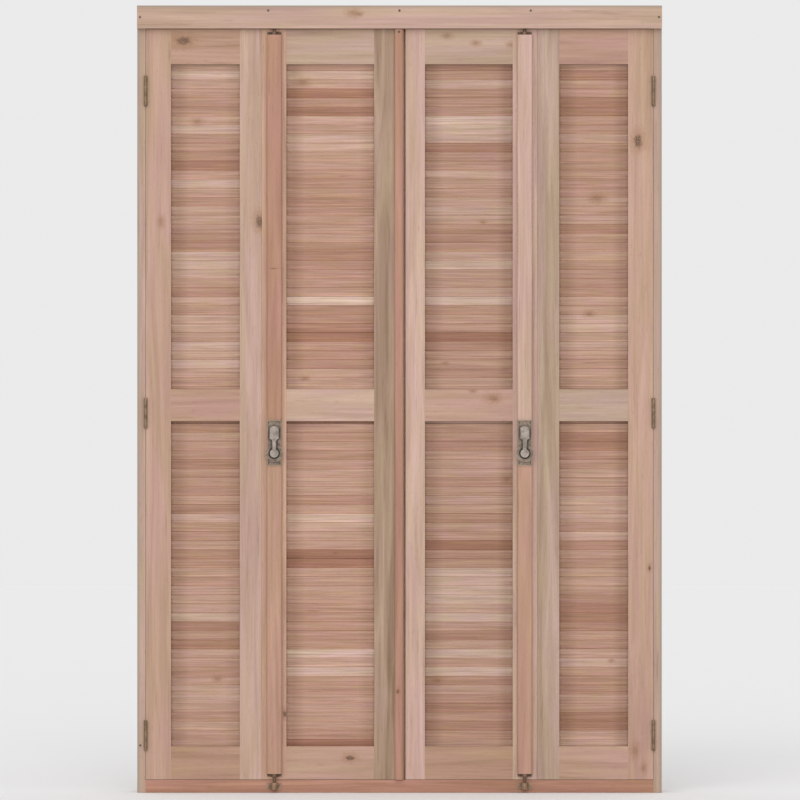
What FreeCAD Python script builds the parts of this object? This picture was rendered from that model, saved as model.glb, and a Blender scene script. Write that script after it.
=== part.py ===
import FreeCAD, Part
import math
import os

V = FreeCAD.Vector

# Frame sizes, in mm
set_width = 1400.0
set_height = 2100.0
frame_depth = 120.0
jamb_thickness = 22.0
fascia_height = 61.0
fascia_thickness = 20.0
sill_height = 34.0
sill_fall = 8.0
stop_width = 12.0
stop_depth = 20.0

# Leaf sizes
leaf_thickness = 30.0
top_rail_height = 93.5
mid_rail_height = 85.0
bottom_rail_height = 88.5
hinge_stile_width = 67.2
outer_fold_stile_width = 65.0
inner_fold_stile_width = 65.3
fold_line = 367.5
meeting_line = 14.0
meeting_opening_edge = 68.0
lap_width = 7.5
lap_thickness = 12.0

# Gaps between leaves and frame
jamb_gap = 0.8
fold_gap = 0.4
end_gap = 1.0
meeting_gap = 5.2
meeting_slant = 6.0
lap_gap = 1.0
stop_gap = 1.0

# Slats, and the grooves that hold them
slat_pitch_aim = 24.1
slat_thickness = 6.5
slat_tilt = 19.0
upper_slat_drop = 17.0
lower_slat_drop = 5.5
smallest_slat = 3.0
groove_wall = 4.8
groove_depth = 8.0
slat_fit = 0.2
slat_end_fit = 0.5
tenon_fit = 0.1

# Hinges
hinge_height = 80.0
knuckle_radius = 4.7
pin_radius = 2.3
pin_clearance = 0.05
plate_thickness = 1.4
plate_gap = 0.2
jamb_plate_reach = 26.0
fold_plate_reach = 15.0
knuckle_stand_off = 0.3
knuckle_end_gap = 0.25
hinge_from_leaf_end = 118.0
hinge_from_leaf_top = 165.0

# Locks: case, bolts and their covers
cover_width = 40.0
cover_thickness = 16.0
cover_round = 5.0
channel_width = 10.0
channel_depth = 13.0
bolt_from_opening = 32.0
bolt_stand_off = 8.0
bolt_radius = 4.0
bolt_clearance = 0.5
bolt_rest_gap = 1.6
case_width = 38.0
case_height = 121.0
case_depth = 18.0
case_wall = 1.5
case_corner = 2.0
case_rim_width = 2.0
case_rim_height = 1.5
case_above_rail_foot = 3.0
spindle_height = 32.5
boss_radius = 23.5
boss_thickness = 3.0
boss_groove = (12.0, 15.8)
boss_groove_depth = 2.4
spindle_radius = 4.0
guide_height = 8.0
guide_end_height = 6.5
guide_width = 38.0
guide_flange = 2.5
guide_wall = 3.5
guide_from_leaf_end = 7.5

# Rack and pinion
gear_module = 1.6
pinion_teeth = 10
pressure_angle = 25.0
backlash = 0.3
pinion_addendum = 1.4
pinion_dedendum = 1.9
rack_addendum = 1.3
rack_dedendum = 1.7
rack_back = 2.5
rack_thickness = 6.0
pinion_thickness = 7.0
lever_turn = 90.0
rack_spare = 7.0
foot_thickness = 6.0
foot_clearance = 1.4
upper_foot_rise = 37.0

# Lever
hub_radius = 11.0
hub_gap = 2.0
lever_thickness = 9.0
neck_width = 11.5
paddle_width = 25.0
paddle_length = 42.0
lever_reach = 73.0
lever_chamfer = 1.8

# Keepers
keeper_width = 39.0
keeper_height = 18.5
keeper_end_height = 16.5
keeper_foot = 8.0
keeper_ring_radius = 6.5
keeper_ring_thickness = 2.0
keeper_hole_depth = 20.0

# Meeting strip
strip_width = 23.5
strip_thickness = 13.0
strip_round = 6.0
strip_set_back = 1.0

# Nails and screws
nail_head_radius = 3.0
nail_head_height = 0.8
nail_shank_radius = 1.4
nail_length = 45.0
fascia_nail_spacing = 350.0
fascia_nail_drop = 13.5
end_nail_inset = 8.0
end_nail_drop = 31.0
jamb_nail_height = 126.0
strip_nail_drop = 8.0
strip_nail_length = 30.0
screw_head_radius = 2.4
screw_shank_radius = 1.3
lock_screw_length = 20.0
lock_screw_spread = 14.6
lock_screw_inset = 7.0

# Worked-out places, with the front of the door toward -Y
front = -frame_depth / 2
back = front + leaf_thickness
half_width = set_width / 2
jamb_face = half_width - jamb_thickness
head_face = set_height - fascia_height
leaf_foot = sill_height + end_gap
leaf_top = head_face - end_gap
leaf_edge = jamb_face - jamb_gap
opening_height = (leaf_top - leaf_foot - top_rail_height - mid_rail_height - bottom_rail_height) / 2
lower_opening = leaf_foot + bottom_rail_height
mid_rail_foot = lower_opening + opening_height
upper_opening = mid_rail_foot + mid_rail_height
top_rail_foot = upper_opening + opening_height
outer_front_edge = fold_line + fold_gap / 2
inner_front_edge = fold_line - fold_gap / 2
fold_hinge_gap = 2 * plate_thickness + plate_gap
outer_tongue_edge = fold_line - lap_width + fold_hinge_gap / 2
inner_body_edge = fold_line - lap_width - fold_hinge_gap / 2
fold_axis = (outer_tongue_edge + inner_body_edge) / 2
jamb_axis = (jamb_face + leaf_edge) / 2
jamb_axis_depth = front - knuckle_radius - knuckle_stand_off
fold_axis_depth = back + knuckle_radius + knuckle_stand_off
groove_front = front + groove_wall
groove_back = back - groove_wall
lower_hinge = leaf_foot + hinge_from_leaf_end
upper_hinge = leaf_top - hinge_from_leaf_top
hinge_places = [lower_hinge, (lower_hinge + upper_hinge) / 2, upper_hinge]
inner_opening_edge = inner_front_edge - inner_fold_stile_width
bolt_line = inner_opening_edge + bolt_from_opening
bolt_depth = front - bolt_stand_off
pitch_radius = gear_module * pinion_teeth / 2
bolt_travel = pitch_radius * math.radians(lever_turn)
case_top = mid_rail_foot + case_above_rail_foot
case_foot = case_top - case_height
axle_height = case_foot + spindle_height
upper_tip = head_face - bolt_rest_gap
lower_tip = keeper_foot + keeper_height + bolt_rest_gap
upper_guide_foot = leaf_top - guide_from_leaf_end - guide_height
lower_guide_foot = leaf_foot + guide_from_leaf_end
boss_front = front - case_depth - boss_thickness
lever_back = boss_front - hub_gap
lever_front = lever_back - lever_thickness
guide_round = bolt_radius + bolt_clearance + guide_wall


# Plain shapes

def block(x_range, y_range, z_range):
    corner = V(min(x_range), min(y_range), min(z_range))
    size = [abs(r[1] - r[0]) for r in (x_range, y_range, z_range)]
    return Part.makeBox(size[0], size[1], size[2], corner)


def upright(x, y, z_range, radius):
    return Part.makeCylinder(radius, z_range[1] - z_range[0], V(x, y, z_range[0]), V(0, 0, 1))


def along_depth(x, z, y_range, radius):
    length = y_range[1] - y_range[0]
    return Part.makeCylinder(radius, length, V(x, y_range[0], z), V(0, 1, 0))


def extrude_outline(points, direction):
    return Part.Face(Part.makePolygon(points + points[:1])).extrude(direction)


def arc(start, middle, end):
    return Part.Arc(start, middle, end).toShape()


def rounded_bar(x_range, y_front, y_back, z_range, radius):
    # Flat back, two rounded front arrises
    x0, x1 = min(x_range), max(x_range)
    z = z_range[0]
    inset = radius * (1 - math.sqrt(0.5))
    y_round = y_front + radius
    left = arc(V(x0, y_round, z), V(x0 + inset, y_front + inset, z), V(x0 + radius, y_front, z))
    right = arc(V(x1 - radius, y_front, z), V(x1 - inset, y_front + inset, z), V(x1, y_round, z))
    edges = [
        Part.makeLine(V(x0, y_back, z), V(x0, y_round, z)),
        left,
        Part.makeLine(V(x0 + radius, y_front, z), V(x1 - radius, y_front, z)),
        right,
        Part.makeLine(V(x1, y_round, z), V(x1, y_back, z)),
        Part.makeLine(V(x1, y_back, z), V(x0, y_back, z)),
    ]
    return Part.Face(Part.Wire(edges)).extrude(V(0, 0, z_range[1] - z_range[0]))


def mirrored(shapes, side):
    # Left-hand shapes as they are, right-hand ones turned over
    if side == "left":
        return shapes
    return [s.mirror(V(0, 0, 0), V(1, 0, 0)) for s in shapes]


def save(name, shapes):
    shape = shapes[0] if len(shapes) == 1 else Part.makeCompound(shapes)
    shape.exportStep("parts/" + name + ".step")


# Nails and screws

def nail(x, z, y_face, length):
    head = along_depth(x, z, (y_face - nail_head_height, y_face), nail_head_radius)
    shank = along_depth(x, z, (y_face, y_face + length), nail_shank_radius)
    return head.fuse(shank).removeSplitter()


def screw(place, direction, length, head_height):
    # Countersunk, with its head flush at the place given
    head = Part.makeCone(screw_head_radius, screw_shank_radius, head_height, place, direction)
    shank = Part.makeCylinder(screw_shank_radius, length, place, direction)
    return head.fuse(shank).removeSplitter()


# Hinges: outer knuckles on one plate, the middle one on the other

def knuckle(x, y, z_range):
    return upright(x, y, z_range, knuckle_radius).cut(upright(x, y, z_range, pin_radius + pin_clearance))


def hinge_plate(axis_x, axis_y, toward, reach, z_middle, knuckles):
    # toward is -1 for the plate on the outer side of the axis and 1 for the inner side
    face = math.copysign(1, reach)
    x_near = axis_x + toward * plate_gap / 2
    x_range = (x_near, x_near + toward * plate_thickness)
    y_root = axis_y + face * (knuckle_radius + knuckle_stand_off)
    y_bore = axis_y + face * (pin_radius + knuckle_radius) / 2
    z_range = (z_middle - hinge_height / 2, z_middle + hinge_height / 2)
    plate = block(x_range, (y_root, y_root + reach), z_range)
    for k in knuckles:
        plate = plate.fuse(block(x_range, (y_bore, y_root), k))
        plate = plate.fuse(knuckle(axis_x, axis_y, k))
    return plate.removeSplitter()


def hinge_pin(x, y, z_middle):
    half = hinge_height / 2
    return upright(x, y, (z_middle - half, z_middle + half), pin_radius)


def knuckle_ranges(z_middle):
    foot = z_middle - hinge_height / 2
    third = hinge_height / 3
    low = (foot, foot + third - knuckle_end_gap)
    middle = (foot + third, foot + 2 * third)
    high = (foot + 2 * third + knuckle_end_gap, foot + hinge_height)
    return low, middle, high


def hinge_line(axis_x, axis_y, reach):
    # All hinges on one edge: outer plates, inner plates and pins
    outer, inner, pins = [], [], []
    for z in hinge_places:
        low, middle, high = knuckle_ranges(z)
        outer.append(hinge_plate(axis_x, axis_y, -1, reach, z, [low, high]))
        inner.append(hinge_plate(axis_x, axis_y, 1, reach, z, [middle]))
        pins.append(hinge_pin(axis_x, axis_y, z))
    return outer, inner, pins


def let_in(board, plates):
    # Shallow housings that bring the plates flush with the wood's gap
    for plate in plates:
        board = board.cut(plate)
    return board


# Leaves

def grooved_stile(x_range, groove_x):
    stile = block(x_range, (front, back), (leaf_foot, leaf_top))
    return stile.cut(block(groove_x, (groove_front, groove_back), (leaf_foot, leaf_top)))


def rail(x_range, foot, height):
    # Stub tenons go into the grooves of both stiles
    body = block(x_range, (front, back), (foot, foot + height))
    long_range = (x_range[0] - groove_depth + tenon_fit, x_range[1] + groove_depth - tenon_fit)
    tenon = block(long_range, (groove_front + tenon_fit, groove_back - tenon_fit), (foot, foot + height))
    return body.fuse(tenon).removeSplitter()


def slat_panel(x_range, foot, first_drop):
    # The top and bottom slats are trimmed where they meet the rails
    count = round(opening_height / slat_pitch_aim)
    pitch = opening_height / count
    tilt = math.radians(slat_tilt)
    depth = groove_back - groove_front - 2 * slat_fit
    width = (depth - slat_thickness * math.cos(tilt)) / math.sin(tilt)
    rise = width * math.cos(tilt) + slat_thickness * math.sin(tilt)
    along = V(0, -math.sin(tilt), math.cos(tilt)) * (width / 2)
    across = V(0, -math.cos(tilt), -math.sin(tilt)) * (slat_thickness / 2)
    x0 = x_range[0] - groove_depth + slat_end_fit
    length = x_range[1] + groove_depth - slat_end_fit - x0
    opening_top = foot + opening_height
    room = block((x0, x0 + length), (front, back), (foot, opening_top))
    slats = []
    slat_top = opening_top - first_drop + pitch
    while slat_top > foot + smallest_slat:
        centre = V(x0, (front + back) / 2, slat_top - rise / 2)
        corners = [centre + along + across, centre + along - across,
                   centre - along - across, centre - along + across]
        slat = extrude_outline(corners, V(length, 0, 0))
        if slat_top > opening_top or slat_top - rise < foot:
            slat = slat.common(room).Solids[0]
        slats.append(slat)
        slat_top -= pitch
    return slats


def leaf_panel(x_range):
    # Rails and slats of one leaf
    rails = [
        rail(x_range, top_rail_foot, top_rail_height),
        rail(x_range, mid_rail_foot, mid_rail_height),
        rail(x_range, leaf_foot, bottom_rail_height),
    ]
    slats = slat_panel(x_range, upper_opening, upper_slat_drop)
    slats += slat_panel(x_range, lower_opening, lower_slat_drop)
    return rails, slats


def save_panel(leaf, side, x_range):
    rails, slats = leaf_panel(x_range)
    for place, piece in zip(("top", "mid", "bottom"), rails):
        save(leaf + "_" + place + "_rail", mirrored([piece], side))
    save(leaf + "_slats", mirrored(slats, side))


def build_outer_leaf(side, jamb_line, fold_hinges):
    leaf = side + "_outer"
    hinge_stile_edge = leaf_edge - hinge_stile_width
    fold_stile_edge = outer_tongue_edge + outer_fold_stile_width
    hinge_stile = grooved_stile((-leaf_edge, -hinge_stile_edge),
                                (-hinge_stile_edge - groove_depth, -hinge_stile_edge))
    fold_stile = grooved_stile((-fold_stile_edge, -outer_tongue_edge),
                               (-fold_stile_edge, -fold_stile_edge + groove_depth))
    rebate = block((-outer_front_edge, -outer_tongue_edge), (front, front + lap_thickness + lap_gap),
                   (leaf_foot, leaf_top))
    save(leaf + "_hinge_stile", mirrored([let_in(hinge_stile, jamb_line[1])], side))
    save(leaf + "_fold_stile", mirrored([fold_stile.cut(rebate)], side))
    save_panel(leaf, side, (-hinge_stile_edge, -fold_stile_edge))
    save(leaf + "_hinge_plates", mirrored(jamb_line[1] + fold_hinges[0], side))
    save(side + "_fold_hinge_pins", mirrored(fold_hinges[2], side))


def slanted_stile(meeting_edge, slant):
    # Its free edge runs over by the slant from front to back, so that the meeting gap can't be seen through
    z = leaf_foot
    outline = [V(-meeting_opening_edge, front, z), V(meeting_edge, front, z),
               V(meeting_edge + slant, back, z), V(-meeting_opening_edge, back, z)]
    stile = extrude_outline(outline, V(0, 0, leaf_top - leaf_foot))
    groove_x = (-meeting_opening_edge, -meeting_opening_edge + groove_depth)
    return stile.cut(block(groove_x, (groove_front, groove_back), (leaf_foot, leaf_top)))


def build_inner_leaf(side, meeting_edge, slant, fold_hinges):
    # meeting_edge is the x of the free front edge as if the leaf were on the left
    leaf = side + "_inner"
    fold_stile = grooved_stile((-inner_body_edge, -inner_opening_edge),
                               (-inner_opening_edge - groove_depth, -inner_opening_edge))
    lip = block((-inner_front_edge, -inner_body_edge), (front, front + lap_thickness), (leaf_foot, leaf_top))
    save(leaf + "_fold_stile", mirrored([fold_stile.fuse(lip).removeSplitter()], side))
    save(leaf + "_meeting_stile", mirrored([slanted_stile(meeting_edge, slant)], side))
    save_panel(leaf, side, (-inner_opening_edge, -meeting_opening_edge))
    save(leaf + "_hinge_plates", mirrored(fold_hinges[1], side))


# Lock, built on the left inner leaf's fold stile

def cover_strip(z_range):
    x = -bolt_line
    strip = rounded_bar((x - cover_width / 2, x + cover_width / 2), front - cover_thickness, front,
                        z_range, cover_round)
    channel_x = (x - channel_width / 2, x + channel_width / 2)
    return strip.cut(block(channel_x, (front - channel_depth, front), z_range))


def saddle(z_range, width, end_height):
    # Flat flange on the wood, narrower toward its ends, with a round bridge over the bolt
    x = -bolt_line
    low, high = z_range
    middle = (low + high) / 2
    corners = [(-width / 2, middle - end_height / 2), (-guide_round, low), (guide_round, low),
               (width / 2, middle - end_height / 2), (width / 2, middle + end_height / 2),
               (guide_round, high), (-guide_round, high), (-width / 2, middle + end_height / 2)]
    plate = extrude_outline([V(x + offset, front, z) for offset, z in corners], V(0, -guide_flange, 0))
    bridge = upright(x, bolt_depth, z_range, guide_round)
    web = block((x - guide_round, x + guide_round), (bolt_depth, front), z_range)
    hole = upright(x, bolt_depth, z_range, bolt_radius + bolt_clearance)
    body = plate.multiFuse([bridge, web]).removeSplitter()
    beyond = block((x - width, x + width), (front, front + case_depth), z_range)
    return body.cut(beyond).cut(hole)


def lock_case():
    x = -bolt_line
    x_range = (x - case_width / 2, x + case_width / 2)
    crest = front - case_depth - case_rim_height
    outside = rounded_bar(x_range, crest, front, (case_foot, case_top), case_corner)
    field = block((x_range[0] + case_rim_width, x_range[1] - case_rim_width), (crest, front - case_depth),
                  (case_foot + case_rim_width, case_top - case_rim_width))
    inner_x = (x_range[0] + case_wall, x_range[1] - case_wall)
    inner_z = (case_foot + case_wall, case_top - case_wall)
    inside = rounded_bar(inner_x, front - case_depth + case_wall, front, inner_z, case_corner - case_wall)
    boss = along_depth(x, axle_height, (boss_front, front - case_depth + case_wall), boss_radius)
    rim = along_depth(x, axle_height, (boss_front, front - case_depth), boss_radius)
    hole = along_depth(x, axle_height, (boss_front, front), spindle_radius + pin_clearance)
    bolt_way = upright(x, bolt_depth, (case_foot, case_top), bolt_radius + bolt_clearance)
    plate = boss.common(outside)
    groove_y = (boss_front, boss_front + boss_groove_depth)
    groove = along_depth(x, axle_height, groove_y, max(boss_groove))
    groove = groove.cut(along_depth(x, axle_height, groove_y, min(boss_groove)))
    case = outside.cut(inside).cut(field).multiFuse([rim, plate]).removeSplitter()
    for cutter in (groove, hole, bolt_way):
        case = case.cut(cutter)
    return case


def lock_screws():
    # Four through the case's front into the stile, beside the bolts
    x = -bolt_line
    screws = []
    for z in (case_foot + lock_screw_inset, case_top - lock_screw_inset):
        for offset in (-lock_screw_spread, lock_screw_spread):
            place = V(x + offset, front - case_depth, z)
            screws.append(screw(place, V(0, 1, 0), case_depth + lock_screw_length, case_wall))
    return screws


def involute(angle):
    return math.tan(angle) - angle


def pinion():
    x = -bolt_line
    base = pitch_radius * math.cos(math.radians(pressure_angle))
    half_at_pitch = math.pi / (2 * pinion_teeth) - backlash / (2 * pitch_radius)
    half_at_base = half_at_pitch + involute(math.radians(pressure_angle))
    tip = pitch_radius + pinion_addendum
    flank = [
        (pitch_radius - pinion_dedendum, half_at_base),
        (base, half_at_base),
        (pitch_radius, half_at_pitch),
        (tip, half_at_base - involute(math.acos(base / tip))),
    ]
    y0 = bolt_depth - pinion_thickness / 2
    points = []
    for tooth in range(pinion_teeth):
        middle = (tooth + 0.5) * 2 * math.pi / pinion_teeth
        turns = [(r, middle - half) for r, half in flank]
        turns += [(r, middle + half) for r, half in reversed(flank)]
        points += [V(x + r * math.cos(a), y0, axle_height + r * math.sin(a)) for r, a in turns]
    gear = extrude_outline(points, V(0, pinion_thickness, 0))
    spindle_y = (lever_back - lever_thickness / 2, y0 + pinion_thickness)
    spindle = along_depth(x, axle_height, spindle_y, spindle_radius)
    return gear.fuse(spindle).removeSplitter()


def rack(toward, z_range):
    # toward is 1 where the teeth point to +X; one tooth is centred on the pinion's height at rest
    tooth_pitch = math.pi * gear_module
    slope = math.tan(math.radians(pressure_angle))
    half = tooth_pitch / 4 - backlash / 4
    x_pitch = -bolt_line - toward * pitch_radius
    x_root = x_pitch - toward * rack_dedendum
    x_tip = x_pitch + toward * rack_addendum
    y0 = bolt_depth - rack_thickness / 2
    points = [V(x_root - toward * rack_back, y0, z_range[0]), V(x_root, y0, z_range[0])]
    first = math.ceil((z_range[0] - axle_height) / tooth_pitch + 0.5)
    last = math.floor((z_range[1] - axle_height) / tooth_pitch - 0.5)
    wide = half + rack_dedendum * slope
    narrow = half - rack_addendum * slope
    for tooth in range(first, last + 1):
        z = axle_height + tooth * tooth_pitch
        corners = [(x_root, z - wide), (x_tip, z - narrow), (x_tip, z + narrow), (x_root, z + wide)]
        points += [V(px, y0, pz) for px, pz in corners]
    points += [V(x_root, y0, z_range[1]), V(x_root - toward * rack_back, y0, z_range[1])]
    return extrude_outline(points, V(0, rack_thickness, 0))


def bolt_foot(toward, z_range):
    # Joins the round bolt to its rack
    x_rack = -bolt_line - toward * (pitch_radius + rack_dedendum + rack_back)
    y_range = (bolt_depth - rack_thickness / 2, bolt_depth + rack_thickness / 2)
    return block((x_rack, -bolt_line + toward * bolt_radius), y_range, z_range)


def bolts():
    x = -bolt_line
    upper_foot = (axle_height + upper_foot_rise, axle_height + upper_foot_rise + foot_thickness)
    lower_top = axle_height - pitch_radius - pinion_addendum - foot_clearance
    lower_foot = (lower_top - foot_thickness, lower_top)
    upper = upright(x, bolt_depth, (upper_foot[0], upper_tip), bolt_radius)
    upper = upper.multiFuse([bolt_foot(1, upper_foot),
                             rack(1, (axle_height - bolt_travel - rack_spare, upper_foot[1]))])
    lower = upright(x, bolt_depth, (lower_tip, lower_foot[1]), bolt_radius)
    lower = lower.multiFuse([bolt_foot(-1, lower_foot),
                             rack(-1, (lower_foot[0], axle_height + bolt_travel + rack_spare))])
    return upper.removeSplitter(), lower.removeSplitter()


def lever():
    x = -bolt_line
    half_neck = neck_width / 2
    half_paddle = paddle_width / 2
    shoulder = axle_height + lever_reach - paddle_length
    crown = axle_height + lever_reach
    curve = half_paddle - half_neck
    bend = curve * (1 - math.sqrt(0.5))
    flare = shoulder + curve
    crown_foot = crown - half_neck

    def at(offset, z):
        return V(x + offset, lever_back, z)

    edges = [
        Part.makeLine(at(-half_neck, axle_height), at(-half_neck, shoulder)),
        arc(at(-half_neck, shoulder), at(-half_neck - bend, flare - bend), at(-half_paddle, flare)),
        Part.makeLine(at(-half_paddle, flare), at(-half_paddle, crown_foot)),
        arc(at(-half_paddle, crown_foot), at(0, crown), at(half_paddle, crown_foot)),
        Part.makeLine(at(half_paddle, crown_foot), at(half_paddle, flare)),
        arc(at(half_paddle, flare), at(half_neck + bend, flare - bend), at(half_neck, shoulder)),
        Part.makeLine(at(half_neck, shoulder), at(half_neck, axle_height)),
        Part.makeLine(at(half_neck, axle_height), at(-half_neck, axle_height)),
    ]
    arm = Part.Face(Part.Wire(edges)).extrude(V(0, -lever_thickness, 0))
    front_edges = [e for e in arm.Edges if e.BoundBox.YMax < lever_front + lever_chamfer
                   and e.BoundBox.ZMax > shoulder + curve / 2]
    arm = arm.makeChamfer(lever_chamfer, front_edges)
    hub = along_depth(x, axle_height, (lever_front, lever_back), hub_radius)
    seat = along_depth(x, axle_height, (lever_back - lever_thickness / 2, lever_back), spindle_radius)
    return arm.fuse(hub).removeSplitter().cut(seat)


def build_lock(side, strip_nails):
    upper, lower = bolts()
    screws = lock_screws()
    case = lock_case()
    for s in screws:
        case = case.cut(s)
    covers = [cover_strip((case_top, upper_guide_foot)),
              cover_strip((lower_guide_foot + guide_height, case_foot))]
    guides = [saddle((z, z + guide_height), guide_width, guide_end_height)
              for z in (upper_guide_foot, lower_guide_foot)]
    save(side + "_lock_case", mirrored([case], side))
    save(side + "_cover_strips", mirrored(covers, side))
    save(side + "_bolt_guides", mirrored(guides, side))
    save(side + "_upper_bolt", mirrored([upper], side))
    save(side + "_lower_bolt", mirrored([lower], side))
    save(side + "_lever", mirrored([lever()], side))
    save(side + "_pinion", mirrored([pinion()], side))
    save(side + "_inner_screws", mirrored(screws + strip_nails, side))


# Frame

def keeper_hole():
    z_range = (head_face, head_face + keeper_hole_depth)
    return upright(-bolt_line, bolt_depth, z_range, bolt_radius + bolt_clearance)


def keeper_seat():
    z_range = (head_face, head_face + keeper_ring_thickness)
    return upright(-bolt_line, bolt_depth, z_range, keeper_ring_radius)


def build_frame(jamb_plates):
    depth = (front, -front)
    jamb = let_in(block((-half_width, -jamb_face), depth, (0, set_height)), jamb_plates)
    save("left_jamb", [jamb])
    save("right_jamb", mirrored([jamb], "right"))
    save("head", [block((-jamb_face, jamb_face), depth, (head_face, set_height))])
    stop_front = back + stop_gap
    sill_outline = [V(-jamb_face, front, 0), V(-jamb_face, front, sill_height),
                    V(-jamb_face, stop_front + stop_depth, sill_height),
                    V(-jamb_face, -front, sill_height - sill_fall), V(-jamb_face, -front, 0)]
    save("sill", [extrude_outline(sill_outline, V(2 * jamb_face, 0, 0))])
    fascia = block((-half_width, half_width), (front - fascia_thickness, front), (head_face, set_height))
    for cutter in (keeper_hole(), keeper_seat()):
        for side in ("left", "right"):
            fascia = fascia.cut(mirrored([cutter], side)[0])
    save("head_fascia", [fascia])
    stop_y = (stop_front, stop_front + stop_depth)
    side_stop = block((-jamb_face, stop_width - jamb_face), stop_y, (sill_height, head_face))
    top_stop_x = (stop_width - jamb_face, jamb_face - stop_width)
    top_stop = block(top_stop_x, stop_y, (head_face - stop_width, head_face))
    save("door_stops", [side_stop, top_stop] + mirrored([side_stop], "right"))
    sill_keeper = saddle((keeper_foot, keeper_foot + keeper_height), keeper_width, keeper_end_height)
    save("sill_keepers", [sill_keeper] + mirrored([sill_keeper], "right"))
    ring = keeper_seat().cut(keeper_hole())
    save("head_keepers", [ring] + mirrored([ring], "right"))


def frame_nails():
    face = front - fascia_thickness
    top_row = set_height - fascia_nail_drop
    nails = [nail(n * fascia_nail_spacing, top_row, face, nail_length) for n in (-1, 0, 1)]
    for x in (end_nail_inset - half_width, half_width - end_nail_inset):
        nails.append(nail(x, set_height - end_nail_drop, face, nail_length))
    nails.append(nail(end_nail_inset - half_width, jamb_nail_height, front, nail_length))
    return nails


os.makedirs("parts", exist_ok=True)
jamb_hinges = hinge_line(-jamb_axis, jamb_axis_depth, jamb_plate_reach)
fold_hinges = hinge_line(-fold_axis, fold_axis_depth, -fold_plate_reach)
build_frame(jamb_hinges[0])
save("jamb_hinge_plates", jamb_hinges[0] + mirrored(jamb_hinges[0], "right"))
save("jamb_hinge_pins", jamb_hinges[2] + mirrored(jamb_hinges[2], "right"))
save("frame_nails", frame_nails())
left_edge = meeting_line - meeting_gap / 2
right_edge = meeting_line + meeting_gap / 2
strip_right = left_edge - strip_set_back
strip = rounded_bar((strip_right - strip_width, strip_right), front - strip_thickness, front,
                    (leaf_foot, leaf_top), strip_round)
save("meeting_strip", [strip])
strip_nail = nail(strip_right - strip_width / 2, leaf_top - strip_nail_drop, front - strip_thickness,
                  strip_nail_length)
meetings = (("left", left_edge, -meeting_slant, [strip_nail]), ("right", -right_edge, meeting_slant, []))
for side, meeting_edge, slant, nails in meetings:
    build_outer_leaf(side, jamb_hinges, fold_hinges)
    build_inner_leaf(side, meeting_edge, slant, fold_hinges)
    build_lock(side, nails)
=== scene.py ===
import math
import bmesh
import bpy
from mathutils import Matrix, Vector


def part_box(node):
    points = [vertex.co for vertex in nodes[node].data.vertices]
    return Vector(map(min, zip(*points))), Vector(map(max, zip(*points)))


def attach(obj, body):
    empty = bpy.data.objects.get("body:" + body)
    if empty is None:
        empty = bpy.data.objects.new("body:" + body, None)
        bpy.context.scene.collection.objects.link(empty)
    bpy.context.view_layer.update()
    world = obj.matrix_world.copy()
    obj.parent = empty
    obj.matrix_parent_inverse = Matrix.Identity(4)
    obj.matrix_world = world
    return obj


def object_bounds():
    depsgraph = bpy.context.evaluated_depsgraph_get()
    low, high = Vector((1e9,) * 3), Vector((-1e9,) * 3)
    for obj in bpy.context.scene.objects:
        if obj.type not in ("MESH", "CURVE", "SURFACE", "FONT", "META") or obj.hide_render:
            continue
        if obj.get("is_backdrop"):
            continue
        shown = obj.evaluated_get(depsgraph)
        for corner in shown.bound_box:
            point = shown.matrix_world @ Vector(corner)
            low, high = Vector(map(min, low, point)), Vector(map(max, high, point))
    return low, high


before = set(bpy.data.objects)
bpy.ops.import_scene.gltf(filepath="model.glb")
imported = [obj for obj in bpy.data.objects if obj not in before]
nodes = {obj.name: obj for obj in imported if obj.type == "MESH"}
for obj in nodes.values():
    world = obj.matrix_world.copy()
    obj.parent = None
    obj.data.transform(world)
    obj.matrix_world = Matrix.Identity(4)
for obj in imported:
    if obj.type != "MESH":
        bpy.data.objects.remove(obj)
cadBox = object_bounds()
print("frame loaded:", len(nodes), "nodes")

# Wood tones as they read in daylight, 0 to 255
woodTones = {
    "palePink": (202, 172, 157),
    "pale": (196, 167, 151),
    "tan": (192, 159, 141),
    "warm": (186, 151, 133),
    "rust": (183, 140, 121),
    "rose": (189, 151, 131),
    "olive": (172, 147, 126),
    "grey": (186, 162, 144),
    "deep": (182, 149, 126),
    "sillRed": (178, 134, 113),
    "jamb": (189, 162, 146),
    "sideLightTone": (241, 215, 196),
    "straw": (192, 166, 148),
    "peach": (202, 166, 144),
}
lightLevel = 1.25  # how bright the studio makes a white board that faces the camera


def linear(value):
    # from a screen value to an amount of light, by the usual curve
    v = value / 255
    return v / 12.92 if v <= 0.04045 else ((v + 0.055) / 1.055) ** 2.4


def paint(brightness):
    # the colour that reads with this brightness in the studio
    return tuple(min(1.0, b / lightLevel) for b in brightness) + (1.0,)


def toneColour(tone):
    return paint(linear(c) for c in tone)


# Node helpers
def newMaterial(name):
    material = bpy.data.materials.new(name)
    material.use_nodes = True
    tree = material.node_tree
    return material, tree, tree.nodes["Principled BSDF"]


def plug(tree, value, socket):
    if isinstance(value, bpy.types.NodeSocket):
        tree.links.new(value, socket)
    else:
        socket.default_value = value


def maths(tree, operation, a, b=0.0, c=0.0):
    node = tree.nodes.new("ShaderNodeMath")
    node.operation = operation
    for value, socket in zip((a, b, c), node.inputs):
        plug(tree, value, socket)
    return node.outputs[0]


def product(tree, first, *others):
    for value in others:
        first = maths(tree, "MULTIPLY", first, value)
    return first


def hypotenuse(tree, a, b):
    squares = [maths(tree, "MULTIPLY", side, side) for side in (a, b)]
    return maths(tree, "SQRT", maths(tree, "ADD", *squares))


def vectorMaths(tree, operation, a, b):
    node = tree.nodes.new("ShaderNodeVectorMath")
    node.operation = operation
    plug(tree, a, node.inputs[0])
    plug(tree, b, node.inputs[1])
    return node.outputs[0]


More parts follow.
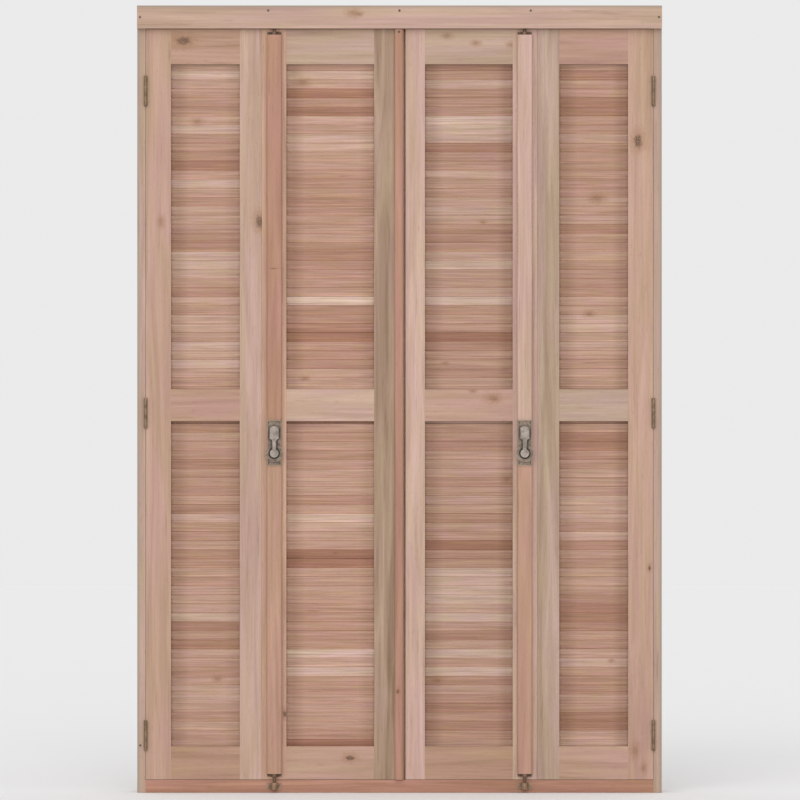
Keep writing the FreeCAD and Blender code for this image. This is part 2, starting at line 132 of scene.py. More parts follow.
def mixColour(tree, factor, a, b, blend="MIX"):
    node = tree.nodes.new("ShaderNodeMix")
    node.data_type = "RGBA"
    node.blend_type = blend
    plug(tree, factor, node.inputs["Factor"])
    plug(tree, a, node.inputs[6])  # sockets 6 and 7 are the two colours
    plug(tree, b, node.inputs[7])
    return node.outputs[2]


def brighten(tree, colour, gain, powers=(1.0, 1.0, 1.0)):
    # the powers say how strongly red, green and blue follow the gain
    combine = tree.nodes.new("ShaderNodeCombineColor")
    for power, channel in zip(powers, combine.inputs):
        tree.links.new(maths(tree, "POWER", gain, power), channel)
    return mixColour(tree, 1.0, colour, combine.outputs[0], "MULTIPLY")


def spread(tree, value, low, high, toLow=0.0, toHigh=1.0):
    node = tree.nodes.new("ShaderNodeMapRange")
    for entry, socket in zip((value, low, high, toLow, toHigh), node.inputs):
        plug(tree, entry, socket)
    return node.outputs[0]


def noise(tree, place, scale, detail, roughness=0.55, distortion=0.0):
    node = tree.nodes.new("ShaderNodeTexNoise")
    tree.links.new(vectorMaths(tree, "MULTIPLY", place, scale), node.inputs["Vector"])
    values = {"Scale": 1.0, "Detail": detail, "Roughness": roughness, "Distortion": distortion}
    for key, value in values.items():
        node.inputs[key].default_value = value
    return node.outputs["Fac"]


def coordinate(tree, kind):
    return tree.nodes.new("ShaderNodeTexCoord").outputs[kind]


def axes(tree, vector):
    node = tree.nodes.new("ShaderNodeSeparateXYZ")
    tree.links.new(vector, node.inputs[0])
    return tuple(node.outputs)


def addBump(tree, shader, height, strength, distance):
    bump = tree.nodes.new("ShaderNodeBump")
    bump.inputs["Strength"].default_value = strength
    bump.inputs["Distance"].default_value = distance
    tree.links.new(height, bump.inputs["Height"])
    tree.links.new(bump.outputs[0], shader.inputs["Normal"])


seedSteps = (1.37, 2.11, 0.73)  # how far apart the boards lie in the pattern of the wood


def pieceSpace(tree, seed):
    coordinates = coordinate(tree, "Object")
    return coordinates, vectorMaths(tree, "ADD", coordinates, [seed * step for step in seedSteps])


# Raw planed wood, one set of sizes for boards and one for the narrow slats
boardGrain = {
    "streakWidth": 0.026, "streakLength": 0.50, "streakDepth": 0.36,
    "fibreWidth": 0.0046, "fibreLength": 0.20, "fibreDepth": 0.15,
    "poreWidth": 0.0016, "poreLength": 0.022, "poreDepth": 0.22,
    "patchWidth": 0.042, "patchLength": 0.30,
    "veinWidth": 0.0085, "veinLength": 0.19, "veinDepth": 0.30,
}
slatGrain = {
    "streakWidth": 0.0062, "streakLength": 0.26, "streakDepth": 0.34,
    "fibreWidth": 0.0034, "fibreLength": 0.17, "fibreDepth": 0.42,
    "poreWidth": 0.0012, "poreLength": 0.018, "poreDepth": 0.18,
    "patchWidth": 0.02, "patchLength": 0.085,
    "veinWidth": 0.0048, "veinLength": 0.12, "veinDepth": 0.30,
}
# Kinds of figure: detail and distortion of the noise, the noise values between which the kind works,
# and the shares of its depth at these two values
figureKinds = {
    "streak": {"detail": 5, "distortion": 0.7, "between": (0.28, 0.72), "shares": (-0.58, 0.42)},
    "fibre": {"detail": 3, "distortion": 0.0, "between": (0.28, 0.72), "shares": (-0.55, 0.45)},
    "pore": {"detail": 2, "distortion": 0.0, "between": (0.60, 0.74), "shares": (0.0, -1.0)},
    "vein": {"detail": 3, "distortion": 0.5, "between": (0.61, 0.78), "shares": (0.0, -1.0)},
    "patch": {"detail": 3, "distortion": 0.4, "between": (0.36, 0.64)},
}
woodLook = {
    "noiseRoughness": 0.58,
    "straw": (0.985, 0.985, 0.88, 1), "pink": (1.03, 0.97, 1.03, 1),  # tints of the patches
    "powers": (0.85, 1.0, 1.1),  # dark grain is redder
    "fibreHeight": 0.7, "poreHeight": 0.5, "bump": (0.25, 0.0006),
    "roughBetween": (0.3, 0.7), "roughness": (0.62, 0.78), "shine": 0.25,
}


def grainNoise(tree, place, sizes, kind, grain):
    figure = figureKinds[kind]
    along, across = 1 / sizes[kind + "Length"], 1 / sizes[kind + "Width"]
    scale = (along, across, across) if grain == "x" else (across, across, along)
    return noise(tree, place, scale, figure["detail"], woodLook["noiseRoughness"], figure["distortion"])


def grainColour(tree, place, base, grain, sizes):
    look = woodLook
    values = {kind: grainNoise(tree, place, sizes, kind, grain) for kind in figureKinds}
    yellower, pinker = (mixColour(tree, 1.0, base, look[tint], "MULTIPLY") for tint in ("straw", "pink"))
    patch = spread(tree, values["patch"], *figureKinds["patch"]["between"])
    colour = mixColour(tree, patch, yellower, pinker)
    gains = []
    for kind in ("streak", "fibre", "pore", "vein"):
        figure = figureKinds[kind]
        ends = [1 + share * sizes[kind + "Depth"] for share in figure["shares"]]
        gains.append(spread(tree, values[kind], *figure["between"], *ends))
    colour = brighten(tree, colour, product(tree, *gains), look["powers"])
    raised = maths(tree, "MULTIPLY", values["fibre"], look["fibreHeight"])
    sunk = maths(tree, "MULTIPLY", values["pore"], look["poreHeight"])
    return colour, maths(tree, "SUBTRACT", raised, sunk), values["fibre"]


def finishWood(tree, shader, colour, height, fibre):
    look = woodLook
    addBump(tree, shader, height, *look["bump"])
    tree.links.new(colour, shader.inputs["Base Color"])
    roughness = spread(tree, fibre, *look["roughBetween"], *look["roughness"])
    tree.links.new(roughness, shader.inputs["Roughness"])
    shader.inputs["Specular IOR Level"].default_value = look["shine"]


# Knots: a dark eye with a soft halo, whose reaches are shares of the radius, from none to full
knotLook = {
    "halo": (0.37, 0.195, 0.11), "haloReach": (2.2, 0.8), "haloShare": 0.5,
    "eye": (0.10, 0.055, 0.033), "eyeReach": (0.95, 0.45), "eyeShare": 0.9,
    "outline": {"scale": 160, "detail": 3, "between": (0.3, 0.7), "to": (0.75, 1.3)},
    "cracks": {"scale": 420, "detail": 2, "between": (0.36, 0.56), "to": (0.25, 1.0)},
}
# Kinds of marks: strength of the eye, and width as a share of length
markKinds = {
    "knots": {"strength": 1.0, "slender": 0.55},
    "faintKnots": {"strength": 0.3, "slender": 0.55},  # seen as brown clouds
    "sawMarks": {"strength": 0.75, "slender": 0.16},  # across the grain
}


def uneven(tree, coordinates, values):
    pattern = noise(tree, coordinates, (values["scale"],) * 3, values["detail"])
    return spread(tree, pattern, *values["between"], *values["to"])


def addMark(tree, coordinates, colour, mark, lengthways, strength, slender):
    look = knotLook
    x, z, radius = mark
    placeX, _, placeZ = axes(tree, coordinates)
    offsets = []
    for axis, place, middle in (("x", placeX, x), ("z", placeZ, z)):
        offset = maths(tree, "SUBTRACT", place, middle)
        offsets.append(maths(tree, "MULTIPLY", offset, slender if axis == lengthways else 1.0))
    distance = hypotenuse(tree, *offsets)
    distance = maths(tree, "MULTIPLY", distance, uneven(tree, coordinates, look["outline"]))
    halo = spread(tree, distance, *(radius * reach for reach in look["haloReach"]))
    eye = spread(tree, distance, *(radius * reach for reach in look["eyeReach"]))
    eye = maths(tree, "MULTIPLY", eye, uneven(tree, coordinates, look["cracks"]))
    halo = maths(tree, "MULTIPLY", halo, look["haloShare"])
    eye = maths(tree, "MULTIPLY", eye, look["eyeShare"] * strength)
    colour = mixColour(tree, halo, colour, paint(look["halo"]))
    return mixColour(tree, eye, colour, paint(look["eye"]))


def addMarks(tree, coordinates, colour, piece, grain):
    across = "z" if grain == "x" else "x"
    for kind, values in markKinds.items():
        lengthways = across if kind == "sawMarks" else grain
        for mark in piece.get(kind, ()):
            colour = addMark(tree, coordinates, colour, mark, lengthways, **values)
    return colour


darkEdge = {"colour": (0.36, 0.29, 0.235), "width": 0.010, "share": 0.9}


def darkenEdge(tree, coordinates, colour, axis, position, front):
    # darker, greyer wood along one outer edge of the front
    places = axes(tree, coordinates)
    inward = maths(tree, "SUBTRACT", places[axis], position)
    back = maths(tree, "SUBTRACT", places[1], front)
    distance = hypotenuse(tree, inward, back)
    darkening = spread(tree, distance, 0.0, darkEdge["width"], darkEdge["share"], 0.0)
    return mixColour(tree, darkening, colour, paint(darkEdge["colour"]))


# painted light for the sides of stiles and jambs that face along the door, to lift the shade in the gaps
sideLight = {"tone": "sideLightTone", "between": (0.5, 0.9)}


def paintSideLight(tree, base, facing):
    # painted light on the sides that face along the door, a pale tone that lifts the shade in the narrow
    # gaps
    along = axes(tree, coordinate(tree, "Normal"))[0]
    share = spread(tree, along, *(facing * value for value in sideLight["between"]))
    return mixColour(tree, share, base, toneColour(woodTones[sideLight["tone"]]))


# Boards: tone and grain, marks as (x, z, radius) in metres, strength of the figure, the side with painted
# light (1 right, -1 left), and a darker edge (0 across or 2 up, and how far)
boards = {
    "head_fascia": {
        "tone": "pale", "grain": "x", "darkEdge": (2, 2.100),
        "faintKnots": ((-0.122, 2.080, 0.0085), (-0.108, 2.077, 0.004)),
    },
    "head": {"tone": "tan", "grain": "x"},
    "sill": {"tone": "sillRed", "grain": "x", "figure": 1.8},
    "left_jamb": {"tone": "jamb", "grain": "z", "sideLight": 1, "darkEdge": (0, -0.700)},
    "right_jamb": {"tone": "jamb", "grain": "z", "sideLight": -1, "darkEdge": (0, 0.700)},
    "door_stops": {"tone": "tan", "grain": "z"},
    "meeting_strip": {"tone": "rust", "grain": "z", "knots": ((-0.004, 0.271, 0.005),)},
    "left_cover_strips": {
        "tone": "rust", "lowerTone": "rose", "grain": "z",
        "sawMarks": ((-0.3365, 1.3986, 0.0018),),
    },
    "right_cover_strips": {"tone": "palePink", "lowerTone": "rose", "grain": "z"},
    "left_outer_hinge_stile": {
        "tone": "tan", "grain": "z", "sideLight": -1,
        "faintKnots": ((-0.637, 1.523, 0.007),),
    },
    "left_outer_fold_stile": {
        "tone": "pale", "grain": "z", "sideLight": 1,
        "knots": ((-0.3735, 1.5245, 0.0125),),
    },
    "left_outer_top_rail": {"tone": "warm", "grain": "x", "knots": ((-0.578, 2.006, 0.0140),)},
    "left_outer_mid_rail": {"tone": "warm", "grain": "x"},
    "left_outer_bottom_rail": {"tone": "deep", "grain": "x"},
    "left_inner_fold_stile": {
        "tone": "peach", "grain": "z", "sideLight": -1, "figure": 1.2,
        "knots": ((-0.306, 0.210, 0.006),),
    },
    "left_inner_meeting_stile": {"tone": "olive", "grain": "z", "sideLight": 1, "figure": 2.2},
    "left_inner_top_rail": {"tone": "straw", "grain": "x"},
    "left_inner_mid_rail": {"tone": "palePink", "grain": "x"},
    "left_inner_bottom_rail": {"tone": "tan", "grain": "x", "knots": ((-0.132, 0.092, 0.0080),)},
    "right_inner_fold_stile": {"tone": "palePink", "grain": "z", "sideLight": 1},
    "right_inner_meeting_stile": {"tone": "palePink", "grain": "z", "sideLight": -1},
    "right_inner_top_rail": {
        "tone": "straw", "grain": "x",
        "faintKnots": ((0.127, 2.02, 0.006), (0.204, 2.001, 0.006), (0.298, 1.996, 0.006)),
    },
    "right_inner_mid_rail": {
        "tone": "tan", "grain": "x",
        "faintKnots": ((0.250, 1.053, 0.010), (0.254, 1.050, 0.005), (0.196, 1.072, 0.005)),
    },
    "right_inner_bottom_rail": {"tone": "deep", "grain": "x"},
    "right_outer_fold_stile": {"tone": "grey", "grain": "z", "sideLight": -1, "figure": 1.5},
    "right_outer_hinge_stile": {
        "tone": "tan", "grain": "z", "sideLight": 1,
        "knots": ((0.637, 1.740, 0.0130), (0.667, 0.600, 0.005)),
        "faintKnots": ((0.629, 0.112, 0.009), (0.652, 0.066, 0.007)),
    },
    "right_outer_top_rail": {"tone": "warm", "grain": "x"},
    "right_outer_mid_rail": {"tone": "grey", "grain": "x"},
    "right_outer_bottom_rail": {"tone": "tan", "grain": "x"},
}
lockHeight = 0.93  # where the lower cover strips, of another tone, begin


def boardMaterial(name, seed):
    board = boards[name]
    material, tree, shader = newMaterial(name)
    coordinates, place = pieceSpace(tree, seed)
    base = toneColour(woodTones[board["tone"]])
    if "lowerTone" in board:
        above = maths(tree, "GREATER_THAN", axes(tree, coordinates)[2], lockHeight)
        base = mixColour(tree, above, toneColour(woodTones[board["lowerTone"]]), base)
    # painted light on the side that faces along the door
    if "sideLight" in board:
        base = paintSideLight(tree, base, board["sideLight"])
    sizes = dict(boardGrain, streakDepth=boardGrain["streakDepth"] * board.get("figure", 1.0))
    colour, height, fibre = grainColour(tree, place, base, board["grain"], sizes)
    colour = addMarks(tree, coordinates, colour, board, board["grain"])
    if "darkEdge" in board:
        colour = darkenEdge(tree, coordinates, colour, *board["darkEdge"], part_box(name)[0][1])
    finishWood(tree, shader, colour, height, fibre)
    return material


# Slats: each has its own board, told apart by its place in the stack
slatStack = {
    "pitch": 868.0 / 36 / 1000,  # 36 steps in 868 mm
    "tilt": math.radians(19), "middleDepth": -0.045, "rise": 0.04235,
    "rails": (0.9915, 1.9445),  # undersides of the rails over the lower and the upper panels
    "drops": (0.0055, 0.017),  # from there down to the tops of the first slats
    "change": 1.033,  # a height between the lower and the upper panels
    "tones": ((213, 185, 169), (203, 170, 152), (195, 158, 139), (187, 148, 128), (172, 129, 108)),
    "shares": (0.0, 0.22, 0.52, 0.82, 1.0),
    "chances": (0.25, 1.75),  # sums of two chances that give the palest and the darkest tone
    "family": 3.0,  # slats in a row that come from one plank
    "upperCount": 100.0, "plankSeed": 50, "grainShift": 9.0,  # these keep chances and grain apart
}
# Panels: brightness and contrast of the slats, painted shade at their right ends, and marks
slatPanels = {
    "left_outer_slats": {
        "brightness": 0.992, "contrast": 0.8, "rightDepth": 0.12,
        "faintKnots": ((-0.540, 1.792, 0.007), (-0.485, 0.303, 0.006)),
    },
    "left_inner_slats": {
        "brightness": 1.008, "contrast": 1.1, "rightDepth": 0.12,
        "faintKnots": ((-0.258, 1.897, 0.008), (-0.252, 1.105, 0.005), (-0.170, 0.640, 0.005)),
    },
    "right_inner_slats": {
        "brightness": 0.966, "contrast": 1.1, "rightDepth": 0.21,
        "faintKnots": (
            (0.102, 0.299, 0.007), (0.288, 0.835, 0.006), (0.223, 1.523, 0.004), (0.122, 1.146, 0.004),
        ),
    },
    "right_outer_slats": {
        "brightness": 0.992, "contrast": 0.75, "rightDepth": 0.21,
        "faintKnots": ((0.566, 0.352, 0.004), (0.527, 1.587, 0.009), (0.506, 1.278, 0.006)),
    },
}

# Painted shade where the slats run into the stiles and under the rails
paintedEndShade = {
    "inGroove": 0.0075,
    "leftReach": (0.020, 0.050), "leftDepth": 0.22,
    "rightReach": (0.018, 0.042),
    "topReach": (0.006, 0.019), "topDepth": 0.24,
    "powers": (0.9, 1.0, 1.1),
}


# painted shade: darker slats near the stiles and under the rails
def paintEndShade(tree, x, z, upper, colour, name):
    ends = paintedEndShade
    low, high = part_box(name)
    fromLeft = maths(tree, "SUBTRACT", x, low[0] + ends["inGroove"])
    fromRight = maths(tree, "SUBTRACT", high[0] - ends["inGroove"], x)
    fromTop = maths(tree, "SUBTRACT", spread(tree, upper, 0, 1, *slatStack["rails"]), z)
    left = spread(tree, fromLeft, *ends["leftReach"], 1 - ends["leftDepth"], 1.0)
    right = spread(tree, fromRight, *ends["rightReach"], 1 - slatPanels[name]["rightDepth"], 1.0)
    top = spread(tree, fromTop, *ends["topReach"], 1 - ends["topDepth"], 1.0)
    return brighten(tree, colour, product(tree, left, right, top), ends["powers"])


# Painted light on the foot of each slat, paler by a chance amount down to the joint where the slat above
# shades it, and a painted highlight on its top edge
slatFootLight = {
    "slope": (-0.0019, 0.0060), "slopeLift": (0.18, 0.42), "slopePower": 2.0,
    "joint": (-0.0024, -0.0016), "jointLift": (-0.35, 0.25),
    "topGain": 1.12, "facing": (0.6, 0.9),
}


# painted light: lifts the shade on the foot of each slat and brightens the faces that look up
def paintFootLight(tree, colour, height, chance):
    foot = slatFootLight
    _, depthwise, upright = axes(tree, coordinate(tree, "Normal"))
    odds = tree.nodes.new("ShaderNodeSeparateColor")
    tree.links.new(chance, odds.inputs[0])
    slopeLift = spread(tree, odds.outputs[1], 0, 1, *foot["slopeLift"])
    jointLift = spread(tree, odds.outputs[2], 0, 1, *foot["jointLift"])
    slope = maths(tree, "POWER", spread(tree, height, *foot["slope"], 1.0, 0.0), foot["slopePower"])
    above = spread(tree, height, *foot["joint"])
    lift = spread(tree, above, 0, 1, jointLift, maths(tree, "MULTIPLY", slope, slopeLift))
    front = spread(tree, depthwise, *(-value for value in foot["facing"]))
    top = spread(tree, upright, *foot["facing"], 1.0, foot["topGain"])
    gain = maths(tree, "MULTIPLY", maths(tree, "MULTIPLY_ADD", lift, front, 1.0), top)
    return brighten(tree, colour, gain)


def whiteNoise(tree, value, seed):
    chance = tree.nodes.new("ShaderNodeTexWhiteNoise")
    chance.noise_dimensions = "2D"
    pair = tree.nodes.new("ShaderNodeCombineXYZ")
    plug(tree, value, pair.inputs[0])
    plug(tree, float(seed), pair.inputs[1])
    tree.links.new(pair.outputs[0], chance.inputs["Vector"])
    return chance.outputs


def slatTones(panel):
    tones = slatStack["tones"]
    middle = [sum(channel) / len(tones) for channel in zip(*tones)]
    for tone in tones:
        spaced = (m + (c - m) * panel["contrast"] for c, m in zip(tone, middle))
        yield toneColour(value * panel["brightness"] for value in spaced)


def slatMaterial(name, seed):
    stack, panel = slatStack, slatPanels[name]
    material, tree, shader = newMaterial(name)
    coordinates, place = pieceSpace(tree, seed)
    x, y, z = axes(tree, coordinates)
    lean = maths(tree, "SUBTRACT", y, stack["middleDepth"])
    lean = maths(tree, "MULTIPLY", lean, 1 / math.tan(stack["tilt"]))
    level = maths(tree, "ADD", z, lean)
    upper = maths(tree, "GREATER_THAN", z, stack["change"])
    starts = [rail - drop - stack["rise"] / 2 for rail, drop in zip(stack["rails"], stack["drops"])]
    start = spread(tree, upper, 0, 1, *starts)
    steps = maths(tree, "DIVIDE", maths(tree, "SUBTRACT", level, start), stack["pitch"])
    count = maths(tree, "ROUND", steps)
    middle = maths(tree, "ADD", start, maths(tree, "MULTIPLY", count, stack["pitch"]))
    inSlat = maths(tree, "SUBTRACT", z, middle)
    count = maths(tree, "ADD", count, maths(tree, "MULTIPLY", upper, stack["upperCount"]))
    chance = whiteNoise(tree, count, seed)
    plankCount = maths(tree, "FLOOR", maths(tree, "DIVIDE", count, stack["family"]))
    plank = whiteNoise(tree, plankCount, seed + stack["plankSeed"])
    both = maths(tree, "ADD", chance["Value"], plank["Value"])
    ramp = tree.nodes.new("ShaderNodeValToRGB")
    tree.links.new(spread(tree, both, *stack["chances"]), ramp.inputs[0])
    stops = ramp.color_ramp.elements
    while len(stops) < len(stack["tones"]):
        stops.new(0.5)  # placed below
    for stop, colour, position in zip(stops, slatTones(panel), stack["shares"]):
        stop.position = position
        stop.color = colour
    shift = vectorMaths(tree, "MULTIPLY", chance["Color"], (stack["grainShift"],) * 3)
    place = vectorMaths(tree, "ADD", place, shift)
    colour, height, fibre = grainColour(tree, place, ramp.outputs[0], "x", slatGrain)
    colour = addMarks(tree, coordinates, colour, panel, "x")
    colour = paintFootLight(tree, colour, inSlat, chance["Color"])
    colour = paintEndShade(tree, x, z, upper, colour, name)
    finishWood(tree, shader, colour, height, fibre)
    return material


# Metals: roughness is given for the dark and for the bright places
metals = {
    "agedSilver": {
        "bright": (0.390, 0.325, 0.282), "dark": (0.140, 0.112, 0.088), "rim": (0.66, 0.62, 0.56),
        "roughness": (0.62, 0.46), "metallic": 0.35,
    },
    "agedBronze": {
        "bright": (0.330, 0.242, 0.178), "dark": (0.092, 0.064, 0.044), "rim": (0.64, 0.50, 0.385),
        "roughness": (0.64, 0.46), "metallic": 0.35,
    },
    "bronzed": {
        "bright": (0.300, 0.200, 0.118), "dark": (0.100, 0.064, 0.036),
        "roughness": (0.6, 0.40), "metallic": 0.5,
    },
    "boltSteel": {
        "bright": (0.215, 0.120, 0.070), "dark": (0.090, 0.048, 0.027),
        "roughness": (0.66, 0.48), "metallic": 0.2, "grime": 0.35,
    },
    "strike": {
        "bright": (0.380, 0.234, 0.142), "dark": (0.150, 0.084, 0.048),
        "roughness": (0.66, 0.48), "metallic": 0.2, "grime": 0.6,
    },
    "nailSteel": {
        "bright": (0.156, 0.121, 0.083), "dark": (0.064, 0.048, 0.033),
        "roughness": (0.7, 0.5), "metallic": 0.5,
    },
}
metalWear = {
    "blotchScale": 70, "blotchDetail": 4, "blotchDistortion": 0.4, "blotchShare": 0.7,
    "speckScale": 900, "speckDetail": 3, "speckShare": 0.3, "noiseRoughness": 0.6,
    "shadeBetween": (0.30, 0.60), "roughBetween": (0.35, 0.65), "bump": (0.12, 0.0003),
    "samples": 8,  # rays that look for corners and rims
}
rimWear = {"reach": 0.0016, "between": (0.45, 0.85), "share": 0.8}  # handled edges rubbed bright, with a painted highlight along them
# painted shade and grime in corners and creases, found by occlusion
cornerGrime = {"reach": 0.011, "between": (0.50, 0.93), "colour": (0.026, 0.018, 0.011)}


def openness(tree, reach, inside=False):
    node = tree.nodes.new("ShaderNodeAmbientOcclusion")
    node.samples = metalWear["samples"]
    node.inside = node.only_local = inside
    node.inputs["Distance"].default_value = reach
    return node.outputs["AO"]


def metalMaterial(name):
    metal, look = metals[name], metalWear
    material, tree, shader = newMaterial(name)
    coordinates = coordinate(tree, "Object")
    blotch = noise(tree, coordinates, (look["blotchScale"],) * 3, look["blotchDetail"],
                   look["noiseRoughness"], look["blotchDistortion"])
    speck = noise(tree, coordinates, (look["speckScale"],) * 3, look["speckDetail"], look["noiseRoughness"])
    blotches = maths(tree, "MULTIPLY", blotch, look["blotchShare"])
    wear = maths(tree, "ADD", blotches, maths(tree, "MULTIPLY", speck, look["speckShare"]))
    shade = spread(tree, wear, *look["shadeBetween"])
    colour = mixColour(tree, shade, paint(metal["dark"]), paint(metal["bright"]))
    # painted highlight and wear on the convex rims
    if "rim" in metal:
        rim = openness(tree, rimWear["reach"], inside=True)
        rubbedAndLit = spread(tree, rim, *rimWear["between"], rimWear["share"], 0.0)
        colour = mixColour(tree, rubbedAndLit, colour, paint(metal["rim"]))
    # painted shade and grime where the metal meets corners and creases
    least = 1 - metal.get("grime", 1.0)
    unshaded = spread(tree, openness(tree, cornerGrime["reach"]), *cornerGrime["between"], least, 1.0)
    colour = mixColour(tree, unshaded, paint(cornerGrime["colour"]), colour)
    tree.links.new(colour, shader.inputs["Base Color"])
    dullness = spread(tree, wear, *look["roughBetween"], *metal["roughness"])
    tree.links.new(dullness, shader.inputs["Roughness"])
    shader.inputs["Metallic"].default_value = metal["metallic"]
    addBump(tree, shader, speck, *look["bump"])
    return material


metalOf = {name: metalMaterial(name) for name in metals}
print("metals ready")


def metalFor(name):
    if "hinge" in name:
        return "bronzed"
    if name.endswith("keepers"):
        return "strike"
    if name.endswith("_lever"):
        return "agedSilver"
    if name.endswith("_lock_case"):
        return "agedBronze"
    if name.endswith(("_bolt", "_pinion", "_guides")):
        return "boltSteel"
    return "nailSteel"


def setMaterial(thing, material):
    thing.data.materials.clear()
    thing.data.materials.append(material)


# Eased edges: widths in metres, and the angle from which an edge counts as sharp
arris = {"board": 0.0003, "slat": 0.0004, "metal": 0.0004, "segments": 2, "angle": 40, "weld": 0.00002}


def softenEdges(thing, width):
    weld = thing.modifiers.new("weld", "WELD")
    weld.merge_threshold = arris["weld"]
    bevel = thing.modifiers.new("arris", "BEVEL")
    bevel.width = width
    bevel.segments = arris["segments"]
    bevel.limit_method = "ANGLE"
    bevel.angle_limit = math.radians(arris["angle"])


for seed, (name, thing) in enumerate(sorted(nodes.items()), 1):
    if name in boards:
        setMaterial(thing, boardMaterial(name, seed))
        softenEdges(thing, arris["board"])
    elif name in slatPanels:
        setMaterial(thing, slatMaterial(name, seed))
        softenEdges(thing, arris["slat"])
    else:
        setMaterial(thing, metalOf[metalFor(name)])
        softenEdges(thing, arris["metal"])
print("wood and metal set on", len(nodes), "nodes")

# Slotted screw heads on hinge plates, bolt guides and keepers
screwHeads = {
    "hingeHeights": (0.153, 1.013, 1.873), "hingeRows": (-0.028, 0.0, 0.028), "plateFace": 0.0001,
    "jambAxis": 0.6776, "jambDepths": (-0.052, -0.042, -0.052),
    "foldAxis": 0.360, "foldDepths": (-0.0375, -0.0375, -0.0375),
    "boltLine": 0.334, "spread": 0.0142, "flangeFace": -0.0625,
    "guideHeights": (0.0465, 2.0265), "keeperHeights": (0.01725,),
    "flush": (0.0030, 0.00006), "domed": (0.0021, 0.0010),  # radius and height
    "slotShare": 0.2, "discShare": 0.5, "topShare": 0.86, "segments": 10,
    "firstTurn": 0.4, "turnStep": 1.3,
}


def addHead(shape, place, normal, turn, radius, height):
    # two D-shaped halves on a thin disc, with the slot between them
    s = screwHeads
    basis = normal.to_track_quat("Z", "Y").to_matrix() @ Matrix.Rotation(turn, 3, "Z")
    reach = math.acos(s["slotShare"] / 2)
    discAngles = [i * math.pi / s["segments"] for i in range(2 * s["segments"])]
    halfAngles = [-reach + 2 * reach * i / s["segments"] for i in range(s["segments"] + 1)]
    layers = [(discAngles, 1, 1.0, height * s["discShare"])]
    layers += [(halfAngles, side, s["topShare"], height) for side in (1, -1)]
    for angles, side, topShare, top in layers:
        outline = [(side * math.cos(a) * radius, side * math.sin(a) * radius) for a in angles]
        upperOutline = [(x * topShare, y * topShare, top) for x, y in outline]
        low = [shape.verts.new(place + basis @ Vector((x, y, 0))) for x, y in outline]
        high = [shape.verts.new(place + basis @ Vector(corner)) for corner in upperOutline]
        for i in range(len(low)):
            j = (i + 1) % len(low)
            shape.faces.new((low[i], low[j], high[j], high[i]))
        shape.faces.new(high)
        shape.faces.new(low[::-1])


def makeHeads(name, body, heads, size, metal):
    shape = bmesh.new()
    for i, (place, normal) in enumerate(heads):
        turn = screwHeads["firstTurn"] + i * screwHeads["turnStep"]
        addHead(shape, Vector(place), Vector(normal), turn, *screwHeads[size])
    mesh = bpy.data.meshes.new(name)
    shape.to_mesh(mesh)
    shape.free()
    piece = bpy.data.objects.new(name, mesh)
    bpy.context.scene.collection.objects.link(piece)
    setMaterial(piece, metalOf[metal])
    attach(piece, body)


def plateHeads(axis, depths, toward):
    s = screwHeads
    return [((axis + toward * s["plateFace"], depth, z + row), (-toward, 0, 0))
            for z in s["hingeHeights"] for row, depth in zip(s["hingeRows"], depths)]


def flangeHeads(x, heights):
    s = screwHeads
    return [((x + side * s["spread"], s["flangeFace"], z), (0, -1, 0)) for z in heights for side in (-1, 1)]


for side, sign in (("left", -1), ("right", 1)):
    jamb, fold, bolt = (sign * screwHeads[key] for key in ("jambAxis", "foldAxis", "boltLine"))
    jambDepths, foldDepths = screwHeads["jambDepths"], screwHeads["foldDepths"]
    outer, inner = side + "_outer_leaf", side + "_inner_leaf"
    jambHeads = plateHeads(jamb, jambDepths, sign)
    outerHeads = plateHeads(jamb, jambDepths, -sign) + plateHeads(fold, foldDepths, sign)
    innerHeads = plateHeads(fold, foldDepths, -sign)
    guideHeads = flangeHeads(bolt, screwHeads["guideHeights"])
    keeperHeads = flangeHeads(bolt, screwHeads["keeperHeights"])
    makeHeads(side + "_jamb_plate_screws", "frame", jambHeads, "flush", "nailSteel")
    makeHeads(side + "_outer_plate_screws", outer, outerHeads, "flush", "nailSteel")
    makeHeads(side + "_inner_plate_screws", inner, innerHeads, "flush", "nailSteel")
    makeHeads(side + "_guide_screws", inner, guideHeads, "domed", "boltSteel")
    makeHeads(side + "_keeper_screws", "frame", keeperHeads, "domed", "strike")
print("screw heads set")

# Studio: pale floor, soft light from the upper left, camera straight on
studio = {
    "backdrop": 234.5,
    "floor": 0.832, "floorSize": 40.0, "floorDrop": 0.0005, "floorRoughness": 0.9, "floorShine": 0.1,
    "cloudScale": 3, "cloudDetail": 2, "cloudShades": (0.995, 1.005),
    "cameraPlace": (0.0013, -18.0, 1.048), "viewWidth": 2.1355, "frontFace": -0.06,
    "lightDistance": 6,
}
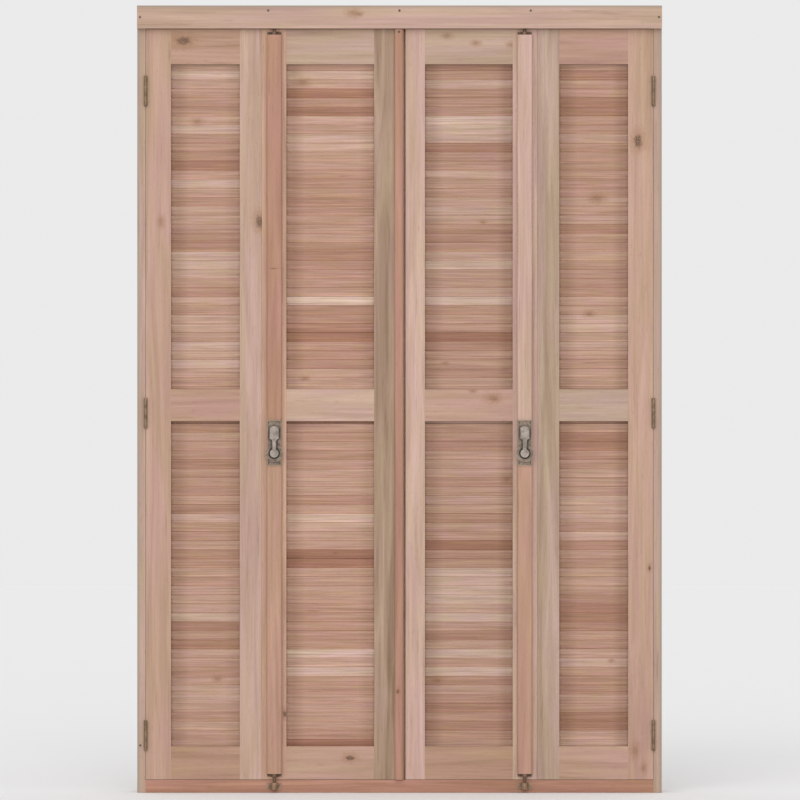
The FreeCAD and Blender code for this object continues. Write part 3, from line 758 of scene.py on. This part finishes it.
# Lights as strength, softness, bearing to the left and height, angles in degrees
lights = {"key": (1.15, 50, 9, 26), "fill": (0.55, 30, -6, 2)}


def addFloor():
    s = studio
    bpy.ops.mesh.primitive_plane_add(size=s["floorSize"], location=(0, 0, -s["floorDrop"]))
    floor = bpy.context.object
    floor.name = "floor"
    material, tree, shader = newMaterial("paleFloor")
    cloud = noise(tree, coordinate(tree, "Object"), (s["cloudScale"],) * 3, s["cloudDetail"])
    shades = [(s["floor"] * f,) * 3 + (1,) for f in s["cloudShades"]]
    tree.links.new(mixColour(tree, cloud, *shades), shader.inputs["Base Color"])
    shader.inputs["Roughness"].default_value = s["floorRoughness"]
    shader.inputs["Specular IOR Level"].default_value = s["floorShine"]
    setMaterial(floor, material)
    floor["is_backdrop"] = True


def addLight(name, strength, softness, bearing, height):
    data = bpy.data.lights.new(name, "SUN")
    data.energy = strength
    data.angle = math.radians(softness)
    light = bpy.data.objects.new(name, data)
    side, up = math.radians(bearing), math.radians(height)
    place = Vector((-math.cos(up) * math.sin(side), -math.cos(up) * math.cos(side), math.sin(up)))
    light.location = place * studio["lightDistance"]
    light.rotation_euler = (-place).to_track_quat("-Z", "Y").to_euler()
    bpy.context.scene.collection.objects.link(light)


def addCamera():
    s = studio
    data = bpy.data.cameras.new("camera")
    distance = s["frontFace"] - s["cameraPlace"][1]
    data.lens = data.sensor_width * distance / s["viewWidth"]
    camera = bpy.data.objects.new("camera", data)
    camera.location = s["cameraPlace"]
    camera.rotation_euler = (math.radians(90), 0, 0)
    bpy.context.scene.collection.objects.link(camera)
    bpy.context.scene.camera = camera


def buildStudio():
    bpy.context.scene.view_settings.view_transform = "Standard"
    world = bpy.data.worlds.new("studio")
    world.use_nodes = True
    grey = linear(studio["backdrop"])
    world.node_tree.nodes["Background"].inputs["Color"].default_value = (grey, grey, grey, 1)
    bpy.context.scene.world = world
    addFloor()
    for name, values in lights.items():
        addLight(name, *values)
    addCamera()


buildStudio()
print("studio ready")

boxes = {"cad": cadBox, "visual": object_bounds()}
{key: [list(corner) for corner in box] for key, box in boxes.items()}
